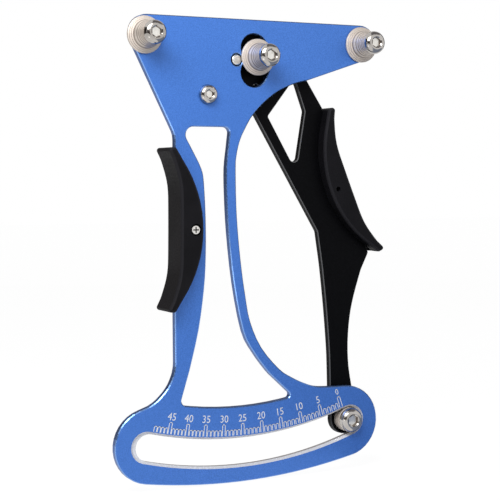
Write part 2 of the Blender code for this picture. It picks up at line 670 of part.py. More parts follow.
def torsion_spring():
    """One wire: the leg on the arm's pin, the turns round the spool, and the leg on the standoff."""
    near, near_length = leg_angle(SPRING_PIN_REACH, SPRING_PIN_DEG, SPRING_PIN_R)
    far, far_length = leg_angle(ANCHOR_REACH, ANCHOR_DEG, STANDOFF_R)
    start = near + 90.0
    sweep = (far + 270.0 - start) % 360.0 + 360.0 * COIL_TURNS
    count = round(sweep / 360.0 * CURL_POINTS)
    rise = (Y_COIL_END - Y_COIL) / sweep
    points = []
    for step in range(LEG_POINTS, 0, -1):
        foot = along(PIVOT, COIL_R, start)
        x, z = along(foot, near_length * step / LEG_POINTS, near)
        points.append((x, FACE_Y + Y_COIL, z))
    for step in range(count + 1):
        turn = sweep * step / count
        x, z = along(PIVOT, COIL_R, start + turn)
        points.append((x, FACE_Y + Y_COIL + rise * turn, z))
    for step in range(1, LEG_POINTS + 1):
        foot = along(PIVOT, COIL_R, start + sweep)
        x, z = along(foot, far_length * step / LEG_POINTS, far)
        points.append((x, FACE_Y + Y_COIL_END, z))
    curve = bpy.data.curves.new("torsion_spring", "CURVE")
    curve.dimensions = "3D"
    curve.fill_mode = "FULL"
    curve.bevel_depth = WIRE_R
    curve.bevel_resolution = 1
    curve.use_fill_caps = True
    spline = curve.splines.new("POLY")
    spline.points.add(len(points) - 1)
    for point, place in zip(spline.points, points):
        point.co = (*place, 1.0)
    spring = as_mesh("torsion_spring", bpy.data.objects.new("torsion_spring_path", curve), PARTS)
    dressed(spring, SPRING_STEEL)
    print("torsion_spring least gap to itself, mm:", round(least_gap(points) / MM, 2))


def least_gap(points):
    """Least distance between two stretches of the wire that lie over half a turn apart."""
    wire = [Vector(point) for point in points]
    apart = CURL_POINTS // 2
    least = min(
        (wire[j] - wire[i]).length
        for i in range(len(wire))
        for j in range(i + apart, len(wire))
    )
    return least - 2 * WIRE_R


def grip_screw_place(seat):
    return on_seat(seat, 0.0, GRIP_SCREW_V - GRIP_SEAT)


def grip_outline(seat):
    """Crescent with a bulging inner side, a hollow outer side and two blunt tips."""
    drop = GRIP_BULGE - GRIP_HOLLOW * GRIP_TIP_SHARES[1][1]
    chord = GRIP_CHORD_SHARE * GRIP_HALF_L
    radius = (chord ** 2 + drop ** 2) / (2 * drop)
    span = math.degrees(math.asin(GRIP_ARC_SHARE * GRIP_HALF_L / radius))
    bulge = []
    for step in range(17):
        a = math.radians(-span + 2 * span * step / 16)
        bulge.append((radius * math.sin(a), GRIP_BULGE - radius * (1 - math.cos(a))))
    tips = [(way * GRIP_HALF_L, across * GRIP_HOLLOW) for way, across in GRIP_TIP_SHARES]
    upper = [(way * GRIP_HALF_L, across * GRIP_HOLLOW) for way, across in GRIP_HOLLOW_SHARES]
    hollow = upper + [(-way, across) for way, across in reversed(upper)]
    corners = corners_of(bulge)
    corners += [(tips[1], GRIP_TIP_R), (tips[0], GRIP_TIP_R)]
    corners += corners_of(smooth(hollow))
    corners += [((-tips[0][0], tips[0][1]), GRIP_TIP_R), ((-tips[1][0], tips[1][1]), GRIP_TIP_R)]
    return [on_seat(seat, way, across - GRIP_SEAT) for way, across in rounded(corners)]


def grip(name, seat, y_front, screw_in_front):
    """Moulded grip that straddles an edge, with its channel and the holes for its screw."""
    y_back = y_front + GRIP_T
    channel_front = y_front + GRIP_FRONT - FIT
    channel_back = y_back - GRIP_FRONT + FIT
    body = flat_piece(name, [grip_outline(seat)], y_front, y_back, GRIP_EDGE, PARTS, 1)
    over = GRIP_HALF_L + OVERRUN
    step = GRIP_NOTCH_HALF + GRIP_NOTCH
    floor = [(-over, -GRIP_FLARE - FIT), (-GRIP_HALF_L, -GRIP_FLARE - FIT)]
    floor += [(-step, -FIT), (-GRIP_NOTCH_HALF, GRIP_NOTCH - FIT)]
    floor += [(-way, across) for way, across in reversed(floor)]
    floor += [(over, GRIP_BULGE), (-over, GRIP_BULGE)]
    outline = [on_seat(seat, way, across) for way, across in floor]
    cut(body, flat_piece(name + "_channel", [outline], channel_front, channel_back, 0.0, CUTTERS))
    place = grip_screw_place(seat)
    hole = GRIP_SCREW_R + FIT
    head = GRIP_HEAD_R + FIT
    sink = GRIP_HEAD_H + FIT
    if screw_in_front:
        cut(body, rod_cutter(name + "_hole", place, hole, y_front - OVERRUN, y_back - OVERRUN))
        cut(body, rod_cutter(name + "_sink", place, head, y_front - OVERRUN, y_front + sink))
    else:
        cut(body, rod_cutter(name + "_hole", place, hole, channel_front, y_back + OVERRUN))
        cut(body, rod_cutter(name + "_sink", place, head, y_back - sink, y_back + OVERRUN))
        cut(body, rod_cutter(name + "_core", place, GRIP_CORE_R, y_front - OVERRUN, channel_back))
    dressed(body, RUBBER)


def grip_screw(name, seat, y_head, y_end):
    """Pan-head screw with a cross recess, flush in a grip. Its head is at y_head and its tip at y_end."""
    place = grip_screw_place(seat)
    way = 1.0 if y_head < y_end else -1.0
    rim = y_head + way * GRIP_HEAD_EDGE
    under = y_head + way * GRIP_HEAD_H
    profile = [(0.0, -y_head), (GRIP_HEAD_R - GRIP_HEAD_EDGE, -y_head), (GRIP_HEAD_R, -rim)]
    profile += [(GRIP_HEAD_R, -under), (GRIP_SCREW_R, -under), (GRIP_SCREW_R, -y_end), (0.0, -y_end)]
    if way < 0.0:
        profile.reverse()
    screw = turned(name, profile, place, STEEL, SMALL_ROUND)
    for turn in (0.0, math.pi / 2):
        mesh = bpy.data.meshes.new(name + "_cross")
        work = bmesh.new()
        bmesh.ops.create_cube(work, size=1.0)
        size = Vector((2 * CROSS_L, 2 * CROSS_W, 2 * CROSS_DEPTH))
        bmesh.ops.scale(work, vec=size, verts=work.verts)
        work.to_mesh(mesh)
        work.free()
        blade = bpy.data.objects.new(mesh.name, mesh)
        blade.rotation_euler = (math.pi / 2, turn, 0.0)
        blade.location = (place[0], FACE_Y + y_head, place[1])
        CUTTERS.objects.link(blade)
        cut(screw, blade)


def grips():
    """One grip on the frame's spine and one on the arm, each with its screw."""
    left_front = -GRIP_FRONT
    right_front = Y_ARM - GRIP_FRONT
    deep = GRIP_T - OVERRUN - FIT
    grip("left_grip", LEFT_SEAT, left_front, True)
    grip("right_grip", RIGHT_SEAT, right_front, False)
    grip_screw("left_grip_screw", LEFT_SEAT, left_front + FIT, left_front + deep)
    grip_screw("right_grip_screw", RIGHT_SEAT, right_front + GRIP_T - FIT, Y_ARM + FIT)


def carry_on_pivot():
    """Hang the arm's pieces, with their cutters, on an empty on the pivot's axis."""
    empty = bpy.data.objects.new("arm_pivot", None)
    empty.location = (PIVOT_X, FACE_Y, PIVOT_Z)
    PARTS.objects.link(empty)
    bpy.context.view_layer.update()
    for name in ARM_PIECES:
        piece = bpy.data.objects[name]
        for modifier in piece.modifiers:
            if modifier.type == "BOOLEAN":
                keep_place_under(piece, modifier.object)
        keep_place_under(empty, piece)


def keep_place_under(parent, child):
    child.parent = parent
    child.matrix_parent_inverse = parent.matrix_world.inverted()


frame_plate()
pointer_arm()
fixed_posts()
moving_post()
pointer()
pivot()
anchor()
spring_pin()
torsion_spring()
grips()
carry_on_pivot()
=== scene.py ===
"""Looks of the spoke tension meter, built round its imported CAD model."""

import json
import math

import bmesh
import bpy
from mathutils import Matrix, Vector

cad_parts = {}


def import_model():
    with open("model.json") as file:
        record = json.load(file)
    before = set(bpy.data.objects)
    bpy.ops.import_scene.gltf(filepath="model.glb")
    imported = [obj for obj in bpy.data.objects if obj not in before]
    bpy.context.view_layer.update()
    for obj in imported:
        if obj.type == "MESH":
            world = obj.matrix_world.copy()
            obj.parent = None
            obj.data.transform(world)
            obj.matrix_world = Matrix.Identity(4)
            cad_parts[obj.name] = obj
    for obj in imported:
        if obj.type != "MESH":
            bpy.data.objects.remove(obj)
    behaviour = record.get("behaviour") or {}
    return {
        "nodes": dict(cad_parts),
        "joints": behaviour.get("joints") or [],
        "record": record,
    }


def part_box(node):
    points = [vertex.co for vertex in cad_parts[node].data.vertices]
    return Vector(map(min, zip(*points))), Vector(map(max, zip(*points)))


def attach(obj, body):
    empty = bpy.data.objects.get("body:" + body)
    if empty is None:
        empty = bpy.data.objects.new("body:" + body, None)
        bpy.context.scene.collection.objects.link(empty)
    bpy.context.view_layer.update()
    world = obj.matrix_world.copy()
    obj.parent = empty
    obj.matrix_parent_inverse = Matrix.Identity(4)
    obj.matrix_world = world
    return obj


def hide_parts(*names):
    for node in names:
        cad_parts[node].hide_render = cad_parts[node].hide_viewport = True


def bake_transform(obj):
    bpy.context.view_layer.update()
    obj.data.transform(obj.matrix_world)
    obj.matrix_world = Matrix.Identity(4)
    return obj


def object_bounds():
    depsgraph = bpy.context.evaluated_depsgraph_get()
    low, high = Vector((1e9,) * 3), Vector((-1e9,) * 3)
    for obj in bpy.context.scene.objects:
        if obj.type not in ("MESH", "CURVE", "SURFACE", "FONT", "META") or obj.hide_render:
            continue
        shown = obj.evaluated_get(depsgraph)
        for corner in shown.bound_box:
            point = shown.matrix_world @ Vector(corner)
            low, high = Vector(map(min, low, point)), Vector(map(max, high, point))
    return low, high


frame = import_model()
cad_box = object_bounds()

MM = 0.001
NODES = frame["nodes"]
HINGE = next(joint for joint in frame["joints"] if joint["name"] == "arm_hinge")
PIVOT_X, FACE_Y, PIVOT_Z = HINGE["pos_m"]
CENTRE = (cad_box[0] + cad_box[1]) / 2

# Scale slot: reach of its middle from the pivot, half width, chamfer, its ends in degrees, how far past its
# chamfer the machined look goes, and the depth below the frame's face at which it starts
REACH = 153.3 * MM
SLOT_HALF = 5.3 * MM
SLOT_CHAMFER = 0.9 * MM
SLOT_RIGHT = 19.35
SLOT_LEFT = -14.65
SLOT_SLACK = 0.05 * MM
SLOT_SUNK = 0.02 * MM

# Scale: its numbers with their angles in degrees from straight down towards +X, and its marks
SCALE = {
    45: -11.55, 40: -8.62, 35: -5.59, 30: -2.46, 25: 0.80,
    20: 4.14, 15: 7.55, 10: 11.12, 5: 14.80, 0: 18.55,
}
UNITS = 5
UNITS_PAST_END = 4
MARK_FOOT_R = 146.6 * MM
MINOR_TOP_R = 144.6 * MM
MAJOR_TOP_R = 142.3 * MM
MARK_HALF = 0.60 * MM
STROKE = 0.30 * MM

# Printed numbers: reach from the pivot, height, width share, size share of the zero, height share of a digit
# in its font, and points to a curve
NUMBER_R = 140.2 * MM
NUMBER_H = 3.0 * MM
NUMBER_NARROW = 0.90
ZERO_SHARE = 0.82
DIGIT_SHARE = 0.73
CURVE_POINTS = 3

# How far the front and the back of the print stand off the frame's face
PRINT_T = 0.03 * MM
PRINT_BACK = PRINT_T / 3

# Share of a normal along Y: below the first is a plate's wall, above the second one of its flat faces, and
# between them lie its chamfers. Beside the scale slot, what is below the third is machined.
WALL_TILT = 0.30
FLAT_TILT = 0.93
SLOT_TILT = 0.95

# Post sleeves, as radius and height above the frame's face in millimetres: bore and tip, hollow cone,
# and flange with its rings cut in steps. Only the moving post has a boss behind its flange. The table
# gives the body that each sleeve rides on and its boss.
SLEEVE_BORE_R = 2.8
SLEEVE_TIP = ((2.8, 9.9), (4.0, 9.9), (4.11, 9.84), (4.15, 9.72), (4.15, 9.3))
SLEEVE_CONE = ((4.02, 8.7), (4.06, 7.8), (4.18, 6.7), (4.40, 5.5), (4.70, 4.4), (5.04, 3.5))
SLEEVE_RINGS = (
    (5.38, 2.84), (5.46, 2.30), (5.94, 2.20), (6.02, 1.72), (6.48, 1.62), (6.56, 1.20),
    (6.96, 1.08), (7.06, 0.98), (7.1, 0.86), (7.1, 0.40), (7.06, 0.30),
)
BOSS = ((4.0, 0.3), (4.0, -4.2))
CONE_STEPS = 5
SLEEVES = {
    "left_post_sleeve": ("frame", ()),
    "right_post_sleeve": ("frame", ()),
    "moving_post_sleeve": ("arm", BOSS),
}

# Button-head screws: body, and in millimetres the radius and height of the head, the radius of the key
# socket and that of the shank
POST_SCREW = (4.5, 2.75, 2.05, 2.5)
SCREWS = {
    "left_post_screw": ("frame", *POST_SCREW),
    "right_post_screw": ("frame", *POST_SCREW),
    "moving_post_screw": ("arm", *POST_SCREW),
    "pointer_screw": ("arm", 5.05, 3.3, 2.35, 3.0),
    "anchor_screw": ("frame", 3.75, 2.2, 1.55, 2.0),
}

# Their heads: radius share of the flat top, height share of the curve's foot, and the undercut rim
TOP_SHARE = 0.535
CURVE_FOOT = 0.13
CURVE_STEPS = 9
RIM = ((0.985, 0.05), (0.95, 0.0))

# Their key sockets: radius shares of the rim in the head and of the foot in the key, height shares of the
# lead, the floor's edge and its middle, and how many points of the profile lie on the hexagon
KEY_RIM = 0.52
KEY_FOOT = 0.94
KEY_LEAD = 0.86
KEY_FLOOR = 0.48
KEY_MIDDLE = 0.40
KEY_POINTS = 3

# Chamfer at the tip of a screw's shank in millimetres
SHANK_TIP = 0.3

# Pointer's washer in millimetres: bore, rim, and its rounded edge as steps in from the rim and down
WASHER_BORE_R = 3.1
WASHER_R = 5.0
WASHER_EDGE = ((0.25, 0.0), (0.08, 0.08), (0.0, 0.25))

# Turned pieces: points round the axis, angle over which an edge is sharp, and distance within which points
# merge
TURNS = 96
SHARP = math.radians(28.0)
MERGE = 0.001 * MM

# Torsion spring: angle over which its edges are sharp
WIRE_SHARP = math.radians(60.0)

# Range that most values of a noise lie in
NOISE_LOW = 0.3
NOISE_HIGH = 0.7

# Sockets of the node that mixes two colours
MIX_SHARE, MIX_A, MIX_B, MIX_RESULT = 0, 6, 7, 2

# Sockets of the node that maps a range, in the order of low, high, and what they become
RANGE_SOCKETS = (1, 2, 3, 4)

# Colours, as linear red, green and blue
BLUE_DARK = (0.049, 0.174, 0.590)
BLUE_LIGHT = (0.080, 0.240, 0.745)
BLUE_CLOUD = (0.053, 0.188, 0.640)
# Painted highlight on the blue plate's chamfers, then painted shade on its walls
BLUE_CHAMFER_HIGHLIGHT = (0.20, 0.36, 0.72)
BLUE_WALL_SHADE = (0.07, 0.14, 0.36)
BARE_CHAMFER = (0.84, 0.86, 0.93)
# Painted shade on the walls of the machined scale slot
BARE_WALL_SHADE = (0.44, 0.42, 0.43)
BLACK_DARK = (0.0014, 0.0014, 0.0018)
BLACK_LIGHT = (0.0034, 0.0034, 0.0044)
# Painted highlight on the black arm's chamfers
BLACK_CHAMFER_HIGHLIGHT = (0.115, 0.115, 0.120)
RUBBER_DARK = (0.0034, 0.0032, 0.0044)
RUBBER_LIGHT = (0.0068, 0.0064, 0.0084)
# Painted highlight on the grip's chamfers
RUBBER_CHAMFER_HIGHLIGHT = (0.014, 0.0135, 0.0165)
POLISHED_DARK = (0.40, 0.375, 0.35)
POLISHED_LIGHT = (0.54, 0.515, 0.49)
TURNED_DARK = (0.25, 0.20, 0.165)
TURNED_LIGHT = (0.66, 0.59, 0.53)
# Painted shade on the walls of the key sockets
SOCKET_SHADE_DARK = (0.11, 0.09, 0.075)
SOCKET_SHADE_LIGHT = (0.24, 0.20, 0.175)
BRIGHT_DARK = (0.70, 0.68, 0.63)
BRIGHT_LIGHT = (0.88, 0.86, 0.82)
CROSS_DARK = (0.66, 0.64, 0.60)
CROSS_LIGHT = (0.84, 0.82, 0.79)
# Painted shade in a cross recess
RECESS_SHADE = (0.02, 0.018, 0.018)
WIRE_DARK = (0.28, 0.28, 0.30)
WIRE_LIGHT = (0.42, 0.42, 0.44)
POLYMER_DARK = (0.022, 0.022, 0.023)
POLYMER_LIGHT = (0.042, 0.042, 0.043)
PRINT_DARK = (0.78, 0.83, 0.93)
PRINT_LIGHT = (0.90, 0.92, 0.96)

# Reach and least depth of the painted shade in a cross recess
CROSS_R = 1.5 * MM
CROSS_DEPTH = 0.08 * MM

# Distance between the lathe's rings on machined steel
LATHE_PITCH = 0.85 * MM

# Camera, fitted to the photograph
CAMERA_AIM = Vector((-3.04 * MM, FACE_Y, -81.9 * MM))
CAMERA_DISTANCE = 532.0 * MM
CAMERA_AZIMUTH = -26.18
CAMERA_ELEVATION = 3.0
CAMERA_ROLL = -0.13
SENSOR = 36.0
LENS = 97.7
CLIP_START = 10 * MM

# Floor: gap under the part, reach, tone, roughness, share of it that shows as white, and the strength at
# which that does
FLOOR_GAP = 0.5 * MM
FLOOR_HALF = 3.0
FLOOR_TONE = (0.82, 0.82, 0.82)
FLOOR_ROUGHNESS = 0.9
FLOOR_WHITE = 0.85
GLOW = 1.13

# World: its tone, and its strength as a light
WHITE = (1.0, 1.0, 1.0)
WORLD_STRENGTH = 0.18

# Cards that only reflections see, in place of a room: azimuth and elevation from the part's middle in
# degrees, distance, width and height in metres, and tone. They face the part, apart from those that lie
# flat above the floor.
CARDS = {
    "card_camera": (-26.0, 2.0, 0.9, 0.50, 0.40, (0.10, 0.08, 0.07)),
    "card_gap": (-50.0, 7.0, 0.9, 0.76, 0.36, (0.03, 0.025, 0.025)),
    "card_left": (-104.0, 10.0, 0.9, 0.80, 0.90, (0.03, 0.025, 0.025)),
    "card_back_left": (-150.0, 5.0, 1.0, 0.9, 0.9, (0.30, 0.27, 0.24)),
    "card_top": (75.0, 66.0, 1.0, 1.2, 1.0, (0.22, 0.21, 0.22)),
    "card_low": (56.0, -13.5, 0.385, 0.52, 0.52, (0.32, 0.37, 0.48)),
    "card_patch": (-60.0, -19.0, 0.24, 0.07, 0.05, (3.0, 3.0, 3.0)),
    "card_right": (112.0, 5.0, 1.0, 0.7, 1.1, (0.06, 0.06, 0.07)),
    "card_back_right": (160.0, 5.0, 1.0, 1.1, 1.1, (0.22, 0.20, 0.18)),
}
FLAT_CARDS = ("card_low",)

# Lamp: place and aim from the part's middle and size, in metres, and power in watts
LAMP_PLACE = Vector((-0.20, -0.22, 0.26))
LAMP_AIM = Vector((-0.06, 0.0, 0.08))
LAMP_SIZE = (0.25, 0.16)
LAMP_POWER = 1.45


class Shader:
    """A material with one Principled shader, and short ways to drive it with nodes.

    The values that it is made with are the even ones, and its nodes vary most of them.
    """

    def __init__(self, name, color, roughness, metallic):
        self.mat = bpy.data.materials.new(name)
        self.mat.use_nodes = True
        self.tree = self.mat.node_tree
        self.out = self.tree.nodes["Principled BSDF"]
        self.set("Base Color", (*color, 1.0))
        self.set("Roughness", roughness)
        self.set("Metallic", metallic)

    def set(self, socket, value):
        self.out.inputs[socket].default_value = value

    def node(self, kind, **values):
        made = self.tree.nodes.new(kind)
        for key, value in values.items():
            setattr(made, key, value)
        return made

    def link(self, source, target):
        self.tree.links.new(source, target)

    def drive(self, socket, source):
        """Let a node's output set one of the shader's own sockets."""
        self.link(source, self.out.inputs[socket])

    def place(self):
        """Object coordinates: real metres in the part's own frame."""
        return self.node("ShaderNodeTexCoord").outputs["Object"]

    def axes(self, vector):
        split = self.node("ShaderNodeSeparateXYZ")
        self.link(vector, split.inputs[0])
        return split.outputs

    def tilt(self):
        """Share of the face's normal along Y, whichever way it points."""
        normal = self.node("ShaderNodeNewGeometry").outputs["True Normal"]
        return self.math("ABSOLUTE", self.axes(normal)["Y"])

    def math(self, operation, a, b=None):
        made = self.node("ShaderNodeMath", operation=operation)
        for socket, value in zip(made.inputs, (a, b)):
            if value is None:
                continue
            if isinstance(value, (int, float)):
                socket.default_value = value
            else:
                self.link(value, socket)
        return made.outputs[0]

    def squares(self, a, b):
        """Sum of two squares."""
        return self.math("ADD", self.math("MULTIPLY", a, a), self.math("MULTIPLY", b, b))

    def noise(self, scale, detail):
        """Noise of so many features per metre."""
        made = self.node("ShaderNodeTexNoise")
        made.inputs["Scale"].default_value = scale
        made.inputs["Detail"].default_value = detail
        self.link(self.place(), made.inputs["Vector"])
        return made.outputs["Fac"]

    def tone(self, value, dark, light, low=NOISE_LOW, high=NOISE_HIGH):
        """Colour that goes from dark to light as a value rises from low to high."""
        made = self.node("ShaderNodeValToRGB")
        for element, position, color in zip(made.color_ramp.elements, (low, high), (dark, light)):
            element.position = position
            element.color = (*color, 1.0)
        self.link(value, made.inputs["Fac"])
        return made.outputs["Color"]

    def remap(self, value, low, high, to_low, to_high):
        made = self.node("ShaderNodeMapRange")
        for key, number in zip(RANGE_SOCKETS, (low, high, to_low, to_high)):
            made.inputs[key].default_value = number
        self.link(value, made.inputs[0])
        return made.outputs[0]

    def spread(self, noise, low, high):
        """Noise, spread over a range."""
        return self.remap(noise, NOISE_LOW, NOISE_HIGH, low, high)

    def switch(self, mask, off, on):
        """One number where a mask is 0, another where it is 1."""
        return self.remap(mask, 0.0, 1.0, off, on)

    def mix(self, share, a, b):
        """Colour between a and b."""
        made = self.node("ShaderNodeMix", data_type="RGBA")
        for socket, value in ((MIX_SHARE, share), (MIX_A, a), (MIX_B, b)):
            if isinstance(value, tuple):
                made.inputs[socket].default_value = (*value, 1.0)
            else:
                self.link(value, made.inputs[socket])
        return made.outputs[MIX_RESULT]

    def bump(self, height, strength, distance):
        made = self.node("ShaderNodeBump")
        made.inputs["Strength"].default_value = strength
        made.inputs["Distance"].default_value = distance
        self.link(height, made.inputs["Height"])
        self.drive("Normal", made.outputs[0])


def chamfer_mask(shader):
    """1 on faces that lean between the flat faces and the walls of a plate, 0 elsewhere."""
    tilt = shader.tilt()
    above = shader.math("GREATER_THAN", tilt, WALL_TILT)
    below = shader.math("LESS_THAN", tilt, FLAT_TILT)
    return shader.math("MULTIPLY", above, below)


def wall_mask(shader):
    """1 on the walls of a plate, 0 elsewhere."""
    return shader.math("LESS_THAN", shader.tilt(), WALL_TILT)


def slot_mask(shader):
    """1 on the scale slot's machined chamfer and walls, 0 on the anodised faces around it."""
    place = shader.axes(shader.place())
    x = shader.math("SUBTRACT", place["X"], PIVOT_X)
    down = shader.math("SUBTRACT", PIVOT_Z, place["Z"])
    angle = shader.math("ARCTAN2", x, down)
    low = shader.math("MAXIMUM", angle, math.radians(SLOT_LEFT))
    held = shader.math("MINIMUM", low, math.radians(SLOT_RIGHT))
    off_x = shader.math("SUBTRACT", x, shader.math("MULTIPLY", shader.math("SINE", held), REACH))
    off_z = shader.math("SUBTRACT", down, shader.math("MULTIPLY", shader.math("COSINE", held), REACH))
    off = shader.math("SQRT", shader.squares(off_x, off_z))
    near = shader.math("LESS_THAN", off, SLOT_HALF + SLOT_CHAMFER + SLOT_SLACK)
    sunk = shader.math("GREATER_THAN", place["Y"], FACE_Y + SLOT_SUNK)
    leans = shader.math("LESS_THAN", shader.tilt(), SLOT_TILT)
    return shader.math("MULTIPLY", near, shader.math("MAXIMUM", sunk, leans))


def blue_anodised():
    """Blasted aluminium, anodised blue, with a painted highlight on its chamfers and painted shade on its
    walls; where the scale slot is machined it is unanodised metal, with painted shade on that slot's walls
    too.
    """
    shader = Shader("blue_anodised_look", color=(0.07, 0.20, 0.62), roughness=0.36, metallic=0.40)
    fine = shader.noise(scale=2600.0, detail=3.0)
    grain = shader.tone(fine, BLUE_DARK, BLUE_LIGHT, low=0.36, high=0.64)
    broad = shader.noise(scale=28.0, detail=2.0)
    cloudy = shader.mix(shader.spread(broad, low=0.0, high=0.35), grain, BLUE_CLOUD)
    edge, side, machined = chamfer_mask(shader), wall_mask(shader), slot_mask(shader)
    # Painted highlight on the chamfers and painted shade on the walls of the anodised faces
    anodised_with_painted_light = shader.mix(side, shader.mix(edge, cloudy, BLUE_CHAMFER_HIGHLIGHT), BLUE_WALL_SHADE)
    # Machined slot: its own bare chamfer colour, and painted shade on its walls
    machined_with_painted_shade = shader.mix(side, BARE_CHAMFER, BARE_WALL_SHADE)
    shader.drive("Base Color", shader.mix(machined, anodised_with_painted_light, machined_with_painted_shade))
    rough = shader.spread(shader.noise(scale=900.0, detail=2.0), low=0.32, high=0.42)
    shader.drive("Roughness", shader.math("MULTIPLY", rough, shader.switch(edge, off=1.0, on=0.7)))
    cut = shader.math("MAXIMUM", edge, side)
    shine = shader.switch(cut, off=0.40, on=0.95)
    shader.drive("Metallic", shader.math("MULTIPLY", shine, shader.switch(machined, off=1.0, on=0.15)))
    height = shader.math("MULTIPLY", fine, shader.switch(cut, off=1.0, on=0.08))
    shader.bump(height, strength=0.25, distance=0.02 * MM)
    return shader.mat


def black_anodised():
    """Blasted aluminium, anodised black, paler on its chamfers as a painted highlight."""
    shader = Shader("black_anodised_look", color=(0.004, 0.004, 0.005), roughness=0.42, metallic=0.0)
    shader.set("Specular IOR Level", 0.05)
    fine = shader.noise(scale=2600.0, detail=3.0)
    grain = shader.tone(fine, BLACK_DARK, BLACK_LIGHT, low=0.35, high=0.68)
    # Paler chamfers: painted highlight along the edges
    shader.drive("Base Color", shader.mix(chamfer_mask(shader), grain, BLACK_CHAMFER_HIGHLIGHT))
    shader.bump(fine, strength=0.25, distance=0.02 * MM)
    return shader.mat


def grip_rubber():
    """Matt moulded rubber with a fine skin, a little dusty, and paler on its chamfers as a painted
    highlight.
    """
    shader = Shader("grip_rubber_look", color=(0.011, 0.011, 0.013), roughness=0.55, metallic=0.0)
    shader.set("Specular IOR Level", 0.12)
    fine = shader.noise(scale=1500.0, detail=4.0)
    dust = shader.tone(shader.noise(scale=90.0, detail=3.0), RUBBER_DARK, RUBBER_LIGHT, low=0.35, high=0.75)
    # Paler chamfers: painted highlight along the grip's edges
    shader.drive("Base Color", shader.mix(chamfer_mask(shader), dust, RUBBER_CHAMFER_HIGHLIGHT))
    shader.drive("Roughness", shader.spread(fine, low=0.48, high=0.66))
    shader.bump(fine, strength=0.35, distance=0.04 * MM)
    return shader.mat


def polished_steel():
    shader = Shader("polished_steel_look", color=(0.47, 0.445, 0.42), roughness=0.14, metallic=1.0)
    fine = shader.noise(scale=1400.0, detail=2.0)
    broad = shader.noise(scale=260.0, detail=2.0)
    shader.drive("Base Color", shader.tone(broad, POLISHED_DARK, POLISHED_LIGHT))
    shader.drive("Roughness", shader.spread(fine, low=0.10, high=0.20))
    shader.bump(fine, strength=0.10, distance=0.02 * MM)
    return shader.mat


def turned_steel(name, centre):
    """Machined steel with the fine rings that a lathe leaves round a post's axis."""
    shader = Shader(name, color=(0.52, 0.475, 0.44), roughness=0.45, metallic=0.44)
    place = shader.axes(shader.place())
    x = shader.math("SUBTRACT", place["X"], centre.x)
    z = shader.math("SUBTRACT", place["Z"], centre.z)
    run = shader.math("SUBTRACT", shader.math("SQRT", shader.squares(x, z)), place["Y"])
    wave = shader.math("SINE", shader.math("MULTIPLY", run, 2 * math.pi / LATHE_PITCH))
    share = shader.remap(wave, -1.0, 1.0, 0.0, 1.0)
    shader.drive("Base Color", shader.tone(share, TURNED_DARK, TURNED_LIGHT, low=0.0, high=0.5))
    shader.drive("Roughness", shader.spread(shader.noise(scale=900.0, detail=2.0), low=0.38, high=0.50))
    shader.bump(wave, strength=0.35, distance=0.03 * MM)
    return shader.mat


def socket_steel():
    """Walls of the key sockets, darker than the rest of the head: painted shade in the socket."""
    shader = Shader("socket_steel_look", color=(0.17, 0.14, 0.12), roughness=0.35, metallic=1.0)
    patches = shader.noise(scale=700.0, detail=3.0)
    shader.drive("Base Color", shader.tone(patches, SOCKET_SHADE_DARK, SOCKET_SHADE_LIGHT))
    return shader.mat


def bright_steel():
    """Floors of the key sockets and the end of the pivot pin, pressed bright."""
    shader = Shader("bright_steel_look", color=(0.80, 0.78, 0.74), roughness=0.30, metallic=1.0)
    patches = shader.noise(scale=700.0, detail=3.0)
    shader.drive("Base Color", shader.tone(patches, BRIGHT_DARK, BRIGHT_LIGHT))
    return shader.mat


def cross_screw(node):
    """Bright screw with painted shade in its cross recess."""
    low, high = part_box(node)
    centre = (low + high) / 2
    shader = Shader("cross_screw_look", color=(0.62, 0.60, 0.57), roughness=0.22, metallic=1.0)
    place = shader.axes(shader.place())
    x = shader.math("SUBTRACT", place["X"], centre.x)
    z = shader.math("SUBTRACT", place["Z"], centre.z)
    inner = shader.math("LESS_THAN", shader.squares(x, z), CROSS_R ** 2)
    deep = shader.math("GREATER_THAN", place["Y"], low.y + CROSS_DEPTH)
    worn = shader.tone(shader.noise(scale=900.0, detail=2.0), CROSS_DARK, CROSS_LIGHT)
    # Painted shade inside the cross recess, within its reach and below its least depth
    shader.drive("Base Color", shader.mix(shader.math("MULTIPLY", inner, deep), worn, RECESS_SHADE))
    return shader.mat


def spring_steel():
    shader = Shader("spring_steel_look", color=(0.34, 0.34, 0.36), roughness=0.28, metallic=1.0)
    drawn = shader.noise(scale=1800.0, detail=2.0)
    shader.drive("Base Color", shader.tone(drawn, WIRE_DARK, WIRE_LIGHT))
    shader.drive("Roughness", shader.spread(drawn, low=0.22, high=0.38))
    return shader.mat


def black_polymer():
    shader = Shader("black_polymer_look", color=(0.03, 0.03, 0.03), roughness=0.5, metallic=0.0)
    fine = shader.noise(scale=1200.0, detail=3.0)
    shader.drive("Base Color", shader.tone(fine, POLYMER_DARK, POLYMER_LIGHT))
    shader.bump(fine, strength=0.2, distance=0.03 * MM)
    return shader.mat


def print_white():
    shader = Shader("print_white_look", color=(0.86, 0.89, 0.95), roughness=0.5, metallic=0.0)
    worn = shader.tone(shader.noise(scale=2000.0, detail=2.0), PRINT_DARK, PRINT_LIGHT, high=0.6)
    shader.drive("Base Color", worn)
    return shader.mat


LOOKS = {
    "blue_anodised": blue_anodised(),
    "black_anodised": black_anodised(),
    "grip_rubber": grip_rubber(),
    "polished_steel": polished_steel(),
    "spring_steel": spring_steel(),
    "black_polymer": black_polymer(),
}
for row in frame["record"]["subparts"]:
    for held in NODES[row["node"]].material_slots:
        held.material = LOOKS[row["material_slot"]]
PRINT = print_white()
SOCKET = [bright_steel(), socket_steel()]
NODES["left_grip_screw"].material_slots[0].material = cross_screw("left_grip_screw")
NODES["spring_pin"].material_slots[0].material = LOOKS["black_anodised"]
NODES["pivot_pin"].material_slots[0].material = SOCKET[0]


